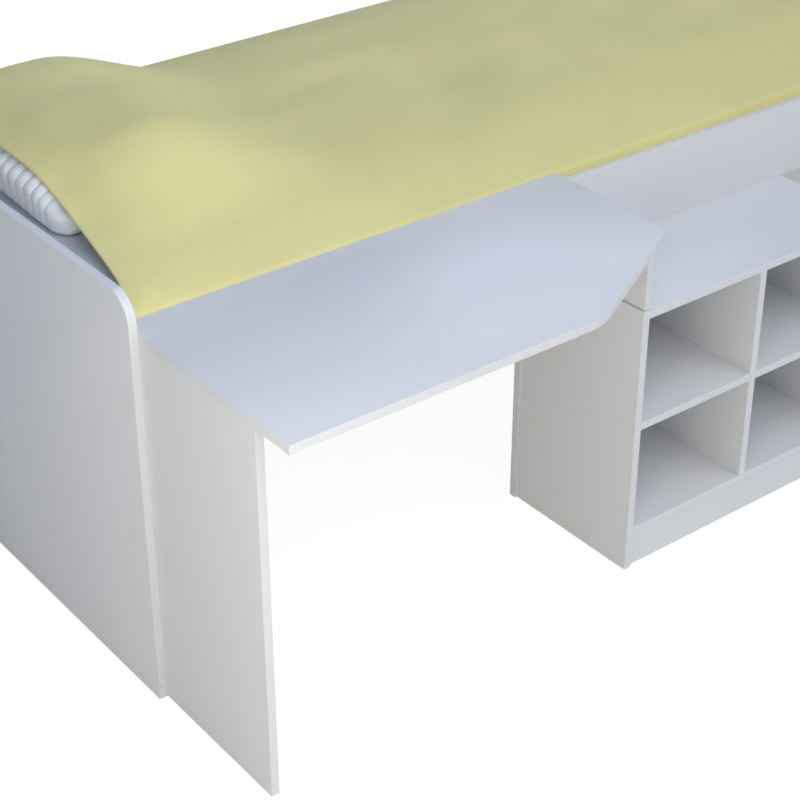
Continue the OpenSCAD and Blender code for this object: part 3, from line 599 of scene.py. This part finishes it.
def piping(name, hoop):
    """A cord sewn round the mattress"""
    curve = bpy.data.curves.new("rim", "CURVE")
    curve.dimensions = "3D"
    curve.bevel_depth = M_CORD
    curve.bevel_resolution = 3
    spline = curve.splines.new("POLY")
    spline.points.add(len(hoop) - 1)
    for point, p in zip(spline.points, hoop):
        point.co = (*p, 1)
    spline.use_cyclic_u = True
    curve.materials.append(PIPING)
    cord = bpy.data.objects.new(name, curve)
    scene.collection.objects.link(cord)
    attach(cord, "root")


def mattress():
    low_z, high_z = MATTRESS_LOW.z, MATTRESS_HIGH.z
    rim_z = high_z - M_CROWN
    # rows of (inset, height): the lower edge, the side, the upper edge and the top
    rows = []
    for a in np.radians(np.linspace(0, 90, 7)):
        rows.append((M_EDGE * (1 - math.sin(a)), low_z + M_EDGE * (1 - math.cos(a))))
    for t in np.linspace(0.12, 0.88, 9):
        rows.append((0.0006 + M_HOLLOW * math.sin(math.pi * t),
                     low_z + M_EDGE + t * (rim_z - low_z - M_EDGE - M_BROW)))
    for a in np.radians(np.linspace(0, 90, 12)):
        rows.append((M_BROW * (1 - math.cos(a)), rim_z - M_BROW * (1 - math.sin(a))))
    for s in np.linspace(0.08, 1, 9):
        rows.append((M_BROW + M_CROWN_IN * s, rim_z + M_CROWN * float(smooth(0, 1, s))))
    count = len(mattress_hoop(0, 0))
    hoops = np.array([respaced(mattress_hoop(inset, z), count) for inset, z in rows])
    body = cushion("piece_mattress", hoops, TICKING)
    for i, (inset, off) in enumerate(M_CORDS):
        piping("piece_mattress_rim_%d" % i, mattress_hoop(inset, (low_z, high_z)[i] + off))
    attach(body, "root")
    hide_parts("mattress")


mattress()

# ------------------------------- the pillow: sewn channels between plain ends
P_LOW, P_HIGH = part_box("pillow")
P_X, P_HALF = (P_LOW.x + P_HIGH.x) / 2, (P_HIGH.x - P_LOW.x) / 2
P_Y0, P_Y1 = P_LOW.y + 0.001, P_HIGH.y
P_LENGTH = P_Y1 - P_Y0
P_MID = P_LOW.z + 0.0480  # height of its rim
P_RISE = P_HIGH.z - 0.0006 - P_MID
P_POWER = 2.6  # squareness of its cross-section
P_CORNER = 0.046  # radius of its corners, seen from above
P_CAP = 0.0615  # length of its plain ends
P_SAG = 0.017  # how much lower its rim lies at the ends
P_SLOPE, P_TOE = 0.105, 0.011  # length of the slope over the rim and of the round under it there
P_DRAWN, P_TURN = 0.072, 0.86  # how far its side draws in, down to where it turns under
P_FOOT, P_FOOT_ROUND = 0.9426, 0.060  # share of its half width there, and what the turn takes
P_NOMINAL = 0.044  # height that its points are spaced by
# the seams between its channels, from its front end, which is the one by the desk
P_SEAMS = [P_CAP, 0.081, 0.1035, 0.132, 0.160, 0.190, 0.217, 0.244]
P_SEAMS += [P_LENGTH - s for s in P_SEAMS[::-1]]
P_ROWS = 8  # rows of points in a channel
P_DIP, P_CHANNEL = 0.0036, 0.028  # a seam's depth in a channel of this width
P_SEAM_IN = 0.014  # how far into the plain ends their seam draws the cover in
P_BLOWN = 0.0026  # the most that the simulation moves a point


def pillow_ends(d):
    """Half width, height of the rim and of the top, and share of the depth below, near an end"""
    d = np.maximum(d, 0)
    half = P_HALF - P_CORNER + np.sqrt(P_CORNER ** 2 - np.maximum(P_CORNER - d, 0) ** 2)
    rim = P_MID - P_SAG * np.exp(-np.maximum(d - P_CAP, -0.02) / 0.050)
    rise = P_RISE * np.sqrt(1 - np.maximum(1 - d / P_SLOPE, 0) ** 1.25)
    under = np.sqrt(1 - np.maximum(1 - d / P_TOE, 0) ** 2)
    return half, rim, rise, under


def pillow_top(x, y):
    """Height of the pillow's upper side, or nothing beside it"""
    half, rim, rise, _ = pillow_ends(np.minimum(y - P_Y0, P_Y1 - y))
    u = np.abs(x - P_X) / half
    inside = (u < 1) & (y > P_Y0) & (y < P_Y1)
    share = np.maximum(1 - np.minimum(u, 1) ** P_POWER, 0) ** (1 / P_POWER)
    return np.where(inside, rim + rise * share, 0.0)


def pillow_section(columns):
    """Its cross-section, as shares of half width and height, with the directions outwards"""
    a = np.linspace(0, math.pi, 1501)
    u = np.sign(np.cos(a)) * np.abs(np.cos(a)) ** (2 / P_POWER)
    v = np.sin(a) ** (2 / P_POWER)
    # below the rim the side draws in a little, and turns under in a small round
    down = np.linspace(0.01, P_TURN, 400)
    corner = np.linspace(0, math.pi / 2, 200)[1:]
    side_u = np.r_[1 - P_DRAWN * down ** 1.5, P_FOOT - P_FOOT_ROUND * (1 - np.cos(corner))]
    side_v = np.r_[-down, -P_TURN - (1 - P_TURN) * np.sin(corner)]
    base_u = np.linspace(-side_u[-1], side_u[-1], 300)[1:-1]
    u = np.r_[u, -side_u, base_u, side_u[::-1]]
    v = np.r_[v, side_v, np.full(len(base_u), -1.0), side_v[::-1]]
    walked = np.r_[0, np.cumsum(np.hypot(np.diff(u * P_HALF), np.diff(v * P_NOMINAL)))]
    at = np.linspace(0, walked[-1], columns, endpoint=False)
    u, v = np.interp(at, walked, u), np.interp(at, walked, v)
    out_u = np.roll(v, -1) * P_NOMINAL - np.roll(v, 1) * P_NOMINAL
    out_v = -(np.roll(u, -1) - np.roll(u, 1)) * P_HALF
    size = np.hypot(out_u, out_v)
    return u, v, out_u / size, out_v / size


def pillow_dip(y, angle):
    """How deep the cover is drawn in at a place along the pillow: by seams, and by creases"""
    k = int(np.searchsorted(P_SEAMS, y, side="right")) - 1
    if not 0 <= k < len(P_SEAMS) - 1:
        # the plain ends are drawn in only next to their seam
        into = abs(min(y, P_LENGTH - y) - P_CAP) / P_SEAM_IN
        return 0.0006 + P_DIP * (1 - math.sin(math.pi / 2 * min(1, into)) ** 0.70)
    wide = P_SEAMS[k + 1] - P_SEAMS[k]
    t = (y - P_SEAMS[k]) / wide
    crease = 0.0
    for place, deep in ((0.30, 0.00022), (0.52, 0.00018), (0.74, 0.00022)):
        place += 0.05 * np.sin(angle * 3 + k * 1.7 + place * 9)
        crease = crease + deep * np.exp(-((t - place) / 0.045) ** 2) * (
            0.5 + 0.5 * np.sin(angle * 4 + k * 2.3 + place * 5))
    return 0.0010 + P_DIP * (wide / P_CHANNEL) * (1 - abs(math.sin(math.pi * t)) ** 0.75) + crease


def pillow():
    columns = 96
    u, v, out_u, out_v = pillow_section(columns)
    angle = np.arctan2(v, u)
    cap = list(P_CAP * (0.5 - 0.5 * np.cos(np.linspace(0.09, 1, 17) * math.pi)))
    ys = cap[:-1]
    for p, q in zip(P_SEAMS, P_SEAMS[1:]):
        ys += [p + (q - p) * (0.5 - 0.5 * math.cos(math.pi * i / P_ROWS)) for i in range(P_ROWS)]
    ys += [P_LENGTH - y for y in cap[::-1]]
    hoops = []
    for y in ys:
        from_end = min(y, P_LENGTH - y)
        half, rim, rise, under = pillow_ends(from_end)
        # the seams are deeper below the rim, and fade out where the pillow lies on the bed
        dip = pillow_dip(y, angle) * (1 + 0.7 * smooth(0.0, 0.4, -v))
        dip = dip * (1 - smooth(0.90, 1.0, -v))
        # towards its ends the side hardly draws in
        straight = 0.30 + 0.40 * (1 - smooth(0.090, 0.230, from_end))
        drawn = P_DRAWN * np.clip(-v / P_TURN, 0, 1) ** 1.5 * P_HALF
        x = P_X + u * half - out_u * dip
        x = x + np.sign(u) * straight * drawn * np.minimum(1, np.abs(u) / 0.8)
        z = rim + np.where(v > 0, v * rise, v * (rim - P_LOW.z) * under) - out_v * dip
        z = np.maximum(z, P_LOW.z + 0.0002)
        hoops.append(np.stack([x, np.full(columns, P_Y0 + y), z], axis=1))
    piece = cushion("piece_pillow", np.array(hoops), PILLOW)
    # its channels fill out between their seams; what lies on the mattress stays
    seams = [len(cap) - 1 + P_ROWS * k for k in range(len(P_SEAMS))]
    pins = {r * columns + j for r in seams for j in range(columns)}
    pins |= {r * columns + j for r in range(len(ys)) for j in range(columns) if v[j] < -0.9}
    swell(piece, sorted(pins), pressure=400, cap=P_BLOWN)
    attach(piece, "root")
    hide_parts("pillow")


pillow()

# ------ the duvet: a padded quilt over mattress and pillow, tucked in at both rails
D_END = X_FOOT - 0.002  # its foot end, just off the foot panel
D_UNDER = MATTRESS_HIGH.z + 0.0003  # height of its underside, just off the mattress
D_THICK, D_EDGE = 0.022, -0.0145  # its top over the mattress's top, in the middle and at a rail
D_THINS = 0.240  # how far from a rail it starts to thin out
D_CROWN = 0.013  # what its middle rises over that
D_HUMP = 0.092  # its rise over the pillow
HUMP_FOOT = -0.110, 0.230  # where that falls away, from the pillow's edge towards the foot
HUMP_FRONT = -0.165, 0.095  # where it starts and is full, from the pillow's front end
HUMP_REAR = -0.045, 0.080  # where it falls away, from the pillow's rear end
D_SKINS = 0.0042  # the least between its upper and lower skins
D_TUCKED = 0.012  # how far its skirt goes down below the rail's top
D_SHOULDER, D_ROUND = 0.010, 0.0045  # width and height of the bend between skirt and top
D_CLEAR, D_LINING = 0.0003, 0.0045  # its outer and inner skins, from the rail
D_LOFT, D_HEM = 0.0038, 0.170  # its top over its head hem's line, and where that fades out
D_OVER = 0.0052  # the least between the pillow and its top

# its head hem, measured along its edge in the photograph: at each place across the bed, how
# far it lies from the head panel, and how high
HEM_X = ((-0.237, 0.006), (-0.212, 0.012), (-0.190, 0.024), (-0.171, 0.036), (-0.1496, 0.043),
         (-0.115, 0.050), (-0.076, 0.057), (-0.040, 0.062), (-0.001, 0.067), (0.044, 0.070),
         (0.083, 0.072), (0.125, 0.073), (0.200, 0.0725), (0.280, 0.072), (0.450, 0.072),
         (0.560, 0.062), (0.673, 0.032))
HEM_Z = ((-0.237, 0.7350), (-0.220, 0.7440), (-0.195, 0.7520), (-0.1716, 0.7562),
         (-0.1497, 0.7584), (-0.115, 0.7626), (-0.0758, 0.7670), (-0.0405, 0.7728),
         (-0.0014, 0.7787), (0.0315, 0.7872), (0.0613, 0.7968), (0.0968, 0.8062),
         (0.1291, 0.8158), (0.1656, 0.8244), (0.2138, 0.8298), (0.2716, 0.8325),
         (0.330, 0.8335), (0.450, 0.8335), (0.530, 0.8250), (0.600, 0.7900), (0.640, 0.7620),
         (0.673, 0.7350))

# its long folds: the draw of their directions, and the length and height of each wave
FOLD_SEED = 11
FOLDS = ((0.86, 0.0028), (0.52, 0.0024), (0.37, 0.0018), (0.24, 0.0010))
# and its soft rises: place, reach and height
RISES = ((-0.700, 0.060, 0.100, 0.0025), (-0.560, -0.110, 0.085, 0.0040),
         (-0.330, -0.120, 0.090, 0.0035), (-0.160, -0.160, 0.070, 0.0040),
         (-0.820, -0.080, 0.075, 0.0030), (-0.430, 0.100, 0.110, 0.0040),
         (-0.240, 0.060, 0.120, 0.0045), (0.060, -0.040, 0.120, 0.0040),
         (0.300, 0.120, 0.140, 0.0045), (0.620, -0.020, 0.130, 0.0040),
         (0.840, 0.260, 0.120, 0.0040), (0.500, 0.400, 0.130, 0.0040),
         (0.100, 0.380, 0.130, 0.0045), (-0.300, 0.380, 0.120, 0.0040))


def folds(x, y):
    """Soft rounded folds: a few long waves in mixed directions, each with a bend of its own"""
    rng = np.random.default_rng(FOLD_SEED)
    total = np.zeros_like(x)
    for length, height in FOLDS:
        a = rng.uniform(0, 2 * math.pi)
        p, q = rng.uniform(0, 2 * math.pi, 2)
        bend = 0.35 * length * np.sin((x * math.sin(a) - y * math.cos(a)) * 4.1 / length + p)
        total += height * np.sin((x * math.cos(a) + y * math.sin(a) + bend)
                                 * 2 * math.pi / length + q)
    return total


def curve_through(knots, t):
    """A smooth curve through (place, value) pairs"""
    xs, ys = np.array(knots).T
    m = np.gradient(ys, xs)
    i = np.clip(np.searchsorted(xs, t) - 1, 0, len(xs) - 2)
    h = xs[i + 1] - xs[i]
    s = np.clip((t - xs[i]) / h, 0, 1)
    return ((2 * s ** 3 - 3 * s ** 2 + 1) * ys[i] + (s ** 3 - 2 * s ** 2 + s) * h * m[i]
            + (3 * s ** 2 - 2 * s ** 3) * ys[i + 1] + (s ** 3 - s ** 2) * h * m[i + 1])


def from_rail(y):
    """Distance from the nearer rail"""
    return np.minimum(y - Y_RAIL_IN, Y_REAR_IN - y)


def drape(x, y):
    """How far the quilt stands off the mattress where it lies over the pillow"""
    over_x = 1 - smooth(P_HIGH.x + HUMP_FOOT[0], P_HIGH.x + HUMP_FOOT[1], x)
    over_y = (smooth(P_Y0 + HUMP_FRONT[0], P_Y0 + HUMP_FRONT[1], y)
              * (1 - smooth(P_Y1 + HUMP_REAR[0], min(P_Y1 + HUMP_REAR[1], Y_REAR_IN - 0.008), y)))
    # the hump is a little lower next to the head panel
    head = 0.78 + 0.22 * smooth(X_HEAD + 0.050, X_HEAD + 0.165, x)
    return D_HUMP * over_x * over_y * head


def quilt_top(x, y):
    """Height of the quilt's upper side"""
    across = np.sin(math.pi * np.clip((y - Y_RAIL_IN) / INNER_W, 0, 1))
    foot = smooth(0, 0.05, D_END - x)
    # it thins out towards the sides, where it is tucked in
    near_rail = (1 - np.clip(from_rail(y) / D_THINS, 0, 1)) ** 2
    thick = D_THICK - (D_THICK - D_EDGE) * near_rail
    z = D_UNDER + thick * (0.2 + 0.8 * np.sqrt(foot)) + drape(x, y)
    z = z + D_CROWN * across ** 0.7 * (0.4 + 0.6 * foot)
    z = z + foot * across ** 1.2 * folds(x, y)
    for cx, cy, reach, high in RISES:
        z = z + across ** 0.6 * high * np.exp(-((x - cx) ** 2 + (y - cy) ** 2) / reach ** 2)
    return z


def bed_top(y):
    """Height of what the quilt lies on, across the bed"""
    into = from_rail(y) - M_GAP
    brow = M_BROW - np.sqrt(M_BROW ** 2 - (M_BROW - np.clip(into, 0, M_BROW)) ** 2)
    return D_UNDER - brow - M_CROWN * (1 - smooth(M_BROW, M_BROW + M_CROWN_IN, into))


def quilt_skins(shares):
    """The quilt's outer and inner skins: rows along the bed, points across it"""
    z0, z_flat = Z_RAIL_TOP - D_TUCKED, D_UNDER + D_EDGE
    bend = z_flat - D_ROUND - z0
    skirt = [(0.0, bend * k / 3) for k in range(3)]
    shoulder = [(D_SHOULDER * (1 - math.cos(a)), bend + D_ROUND * math.sin(a))
                for a in np.linspace(0, math.pi / 2, 17)]
    flat = [(d, z_flat - z0) for d in np.linspace(D_SHOULDER, INNER_W / 2, 62)[1:]]
    half = np.array(skirt + shoulder + flat)
    inward = np.r_[half[:, 0], INNER_W - half[-2::-1, 0]]
    up = np.r_[half[:, 1], half[-2::-1, 1]]
    # the skirt keeps its own height; the flat part takes the drawn one
    share = smooth(bend, z_flat - z0, up)
    y = Y_RAIL_IN + inward
    outer_y = np.where(inward < INNER_W / 2, y + D_CLEAR, y - D_CLEAR)
    inner_y = np.clip(y, Y_RAIL_IN + D_LINING, Y_REAR_IN - D_LINING)
    hem = X_HEAD + curve_through(HEM_X, y)
    lift = curve_through(HEM_Z, y) + D_LOFT - quilt_top(hem, y)
    base = bed_top(y)
    outer, inner = [], []
    for t in shares:
        x = hem + (D_END - hem) * t
        into = x - hem
        top = quilt_top(x, y) + lift * (1 - smooth(0, D_HEM, into))
        top = np.maximum(top, pillow_top(x, y) + D_OVER)
        z = z0 + up + (top - z_flat) * share
        # its padding fills out from the hem and from the foot
        away = np.minimum(into, (D_END - x) * 1.2)
        padding = np.maximum(top - base - drape(x, y) * 0.9 - D_SKINS, 0.0)
        under = np.maximum(top - D_SKINS - padding * smooth(0.004, 0.060, away), base)
        inner_z = np.minimum(z0 + up + (under - z_flat) * share, z - D_SKINS * share)
        outer.append(np.stack([x, outer_y, z], axis=1))
        inner.append(np.stack([x, inner_y, inner_z], axis=1))
    return np.array(outer), np.array(inner)


def duvet():
    shares = np.r_[0, np.linspace(0.0006, 0.05, 22),
                   0.05 + 0.92 * np.linspace(0, 1, 150)[1:] ** 1.1,
                   np.linspace(0.97, 0.9990, 12)[1:], 1.0]
    outer, inner = quilt_skins(shares)
    # the hem is turned over: its edge is round
    mid = (outer[0] + inner[0]) / 2
    for skin in (outer, inner):
        skin[0] = skin[0] * 0.45 + mid * 0.55 - (0.0012, 0, 0)
    hoops = np.concatenate([outer, inner[:, ::-1]], axis=1)
    count, across = hoops.shape[1], outer.shape[1]
    faces = hoop_faces(len(hoops), count)
    for i in (0, len(hoops) - 1):
        for j in range(across - 1):
            a, b = i * count + j, i * count + j + 1
            c, d = (i + 1) * count - 1 - j, (i + 1) * count - 2 - j
            faces.append((a, c, d, b) if i == 0 else (a, b, d, c))
    piece = soft_piece("piece_duvet", [tuple(p) for p in hoops.reshape(-1, 3)], faces, DUVET)
    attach(piece, "root")
    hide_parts("duvet")


duvet()


# ------------------------------------------------------------ floor and light
def floor_sheet(name, color, glow, strength, z, rings):
    """A round sheet that glows a little, of rings given as (radius, height)"""
    surface = Surface(name, color, 0.9, Specular_IOR_Level=0.0, Emission_Color=(*glow, 1),
                      Emission_Strength=strength)
    count = 96
    verts, faces = [(0, 0, 0)], []
    for k, (radius, height) in enumerate(rings):
        first = 1 + k * count
        for i in range(count):
            a, j = 2 * math.pi * i / count, (i + 1) % count
            verts.append((radius * math.cos(a), radius * math.sin(a), height))
            if k == 0:
                faces.append((0, first + i, first + j))
            else:
                faces.append((first - count + i, first + i, first + j, first - count + j))
    mesh = bpy.data.meshes.new(name)
    mesh.from_pydata(verts, [], faces)
    mesh.polygons.foreach_set("use_smooth", [True] * len(faces))
    mesh.materials.append(surface.mat)
    sheet = bpy.data.objects.new(name, mesh)
    sheet.location.z = z
    scene.collection.objects.link(sheet)
    return sheet


# a pale floor that throws light back, under a thin white one that is only looked at
# and rises to a white cove far behind the bed
floor_sheet("floor", (0.6, 0.6, 0.6), (1.0, 1.0, 0.985), 0.2385, -0.0012, [(30, 0)])
seen = floor_sheet("floor_seen", (0.25, 0.25, 0.25), (1.0, 1.0, 1.0), 0.90, -0.0006,
                   [(20, 0), (24, 0.3), (27, 1.5), (29, 4), (30, 8), (30, 60)])
seen.visible_diffuse = seen.visible_glossy = seen.visible_transmission = False
seen.visible_shadow = False

# a studio's walls as soft fields of light: towards where, how narrow, and colour
FIELDS = (((0.7, -0.7, 0.5), 4, (1.094, 1.157, 1.245)),
          ((0, -0.7, 0.7), 4, (0.601, 0.632, 0.692)),
          ((0, 0, 1), 2, (0.094, 0.116, 0.160)))


def studio_walls():
    """The room's light from all round, as a sum of the soft fields"""
    world = bpy.data.worlds.new("studio")
    scene.world = world
    world.use_nodes = True
    sky = Tree(world.node_tree)
    way = sky.add("ShaderNodeTexCoord").outputs["Generated"]
    total = (0, 0, 0)
    for toward, power, color in FIELDS:
        along = sky.add("ShaderNodeVectorMath", {0: way, 1: Vector(toward).normalized()},
                        operation="DOT_PRODUCT").outputs["Value"]
        field = sky.calc("POWER", sky.calc("MAXIMUM", along, 0.0), power)
        tint = sky.add("ShaderNodeVectorMath", {0: color, "Scale": field},
                       operation="SCALE").outputs[0]
        total = sky.add("ShaderNodeVectorMath", {0: total, 1: tint}, operation="ADD").outputs[0]
    sky.feed(sky.tree.nodes["Background"].inputs["Color"], total)
    sky.tree.nodes["Background"].inputs["Strength"].default_value = 1.0


def softbox(name, at, to, size, watts):
    """A square area light; `watts` are its red, green and blue powers"""
    light = bpy.data.lights.new(name, "AREA")
    light.shape = "RECTANGLE"
    light.size = light.size_y = size
    light.energy = max(watts)
    light.color = [w / max(watts) for w in watts]
    lamp = bpy.data.objects.new(name, light)
    lamp.location = at
    lamp.rotation_euler = (Vector(to) - Vector(at)).to_track_quat("-Z", "Y").to_euler()
    lamp.visible_camera = False
    scene.collection.objects.link(lamp)


studio_walls()
# each at a place, turned to another, with its side's length
softbox("near_left", (-1.7, -1.5, 1.0), (-1.0, -0.6, 0.4), 0.7, (6.42, 6.27, 5.73))
softbox("left", (-2.2, -1.2, 0.6), (-1.0, -0.4, 0.4), 1.0, (2.75, 2.17, 1.19))
softbox("high_left", (-2.8, -0.2, 2.4), (-1.0, 0.1, 0.8), 1.2, (5.38, 6.82, 9.77))
softbox("over_desk", (-0.9, -1.4, 2.4), (-0.5, -0.5, 0.7), 1.4, (6.10, 5.94, 6.36))
softbox("over_bed", (-0.2, 0.4, 3.2), (-0.2, 0.2, 0.7), 2.0, (2.92, 5.66, 10.72))
softbox("rear_right", (1.8, 1.6, 2.4), (-0.2, 0.0, 0.75), 1.4, (13.48, 13.77, 15.71))
softbox("under_bed", (0.62, 0.34, 0.26), (1.0, 0.36, 0.16), 0.3, (0.52, 0.54, 0.60))
scene.view_settings.view_transform = "Standard"
scene.view_settings.look = "None"
